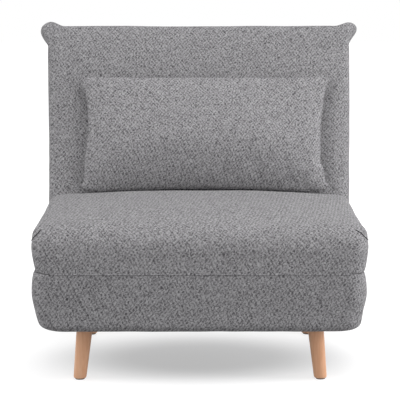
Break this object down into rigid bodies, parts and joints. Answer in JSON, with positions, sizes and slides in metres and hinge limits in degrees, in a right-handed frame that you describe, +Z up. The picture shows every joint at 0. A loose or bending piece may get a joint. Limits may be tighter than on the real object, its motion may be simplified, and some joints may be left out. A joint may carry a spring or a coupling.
{
  "type": "convertible chair bed",
  "caption": "Armless single chair bed in grey tweed fabric: fold-forward seat layer, reclining back, loose back pillow and splayed wooden legs.",
  "frame": {"origin": "on the floor, under the middle of the chair's bounding box with the back upright", "axes": "+X to the right as seen from the front, +Y to the back, +Z up"},
  "size_m": [0.96, 0.9323, 0.923],
  "materials": {
    "upholstery": "matte",
    "pillow_fabric": "matte",
    "foam": "matte",
    "lining": "matte",
    "leg_wood": "satin",
    "slat_wood": "satin",
    "steel": "satin",
    "zinc": "satin",
    "rubber": "matte",
    "glide": "matte",
    "zip_tape": "matte"
  },
  "bodies": {
    "base": {"base_cover": "upholstery", "base_foam": "foam", "base_frame": "steel", "base_lining": "lining", "base_slat_1": "slat_wood", "base_slat_2": "slat_wood", "base_slat_3": "slat_wood", "base_slat_4": "slat_wood", "base_slat_5": "slat_wood", "front_leg_left": "leg_wood", "front_leg_right": "leg_wood", "rear_leg_left": "leg_wood", "rear_leg_right": "leg_wood", "front_leg_left_bolt": "zinc", "front_leg_right_bolt": "zinc", "rear_leg_left_bolt": "zinc", "rear_leg_right_bolt": "zinc", "front_leg_left_glide": "glide", "front_leg_right_glide": "glide", "rear_leg_left_glide": "glide", "rear_leg_right_glide": "glide", "recline_bracket_left": "steel", "recline_bracket_right": "steel", "fold_tape": "upholstery"},
    "seat_flap": {"flap_cover": "upholstery", "flap_foam_seat": "foam", "flap_foam_bed": "foam", "flap_frame": "steel", "flap_slat_1": "slat_wood", "flap_slat_2": "slat_wood", "flap_slat_3": "slat_wood", "flap_slat_4": "slat_wood", "support_pivot_left": "zinc", "support_pivot_right": "zinc"},
    "support_leg_left": {"support_leg_left": "steel", "support_foot_left": "rubber"},
    "support_leg_right": {"support_leg_right": "steel", "support_foot_right": "rubber"},
    "backrest": {"back_cover": "upholstery", "back_foam_front": "foam", "back_foam_rear": "foam", "back_frame": "steel", "back_slat_1": "slat_wood", "back_slat_2": "slat_wood", "back_slat_3": "slat_wood", "back_slat_4": "slat_wood", "recline_arm_left": "steel", "recline_arm_right": "steel", "recline_pin_left": "zinc", "recline_pin_right": "zinc"},
    "pillow": {"pillow_cover": "pillow_fabric", "pillow_filling": "foam", "pillow_zip": "zip_tape"}
  },
  "joints": [
    {"name": "seat_fold", "type": "hinge", "parent": "base", "child": "seat_flap", "pos_m": [0, -0.46858, 0.304], "axis": [1, 0, 0], "range_deg": [0, 180]},
    {"name": "back_recline", "type": "hinge", "parent": "base", "child": "backrest", "pos_m": [0, 0.16942, 0.304], "axis": [-1, 0, 0], "range_deg": [0, 75]},
    {"name": "support_leg_swing_left", "type": "hinge", "parent": "seat_flap", "child": "support_leg_left", "pos_m": [-0.37, 0.14122, 0.366], "axis": [0, -1, 0], "range_deg": [0, 90]},
    {"name": "support_leg_swing_right", "type": "hinge", "parent": "seat_flap", "child": "support_leg_right", "pos_m": [0.37, 0.14122, 0.366], "axis": [0, 1, 0], "range_deg": [0, 90]},
    {"name": "pillow_lift", "type": "slide", "parent": "backrest", "child": "pillow", "axis": [0, 0.2588, 0.9659], "range_m": [0, 0.22]}
  ],
  "couplings": [
    {"joint": "support_leg_swing_left", "follows": "seat_fold", "ratio": 0.5},
    {"joint": "support_leg_swing_right", "follows": "seat_fold", "ratio": 0.5}
  ]
}
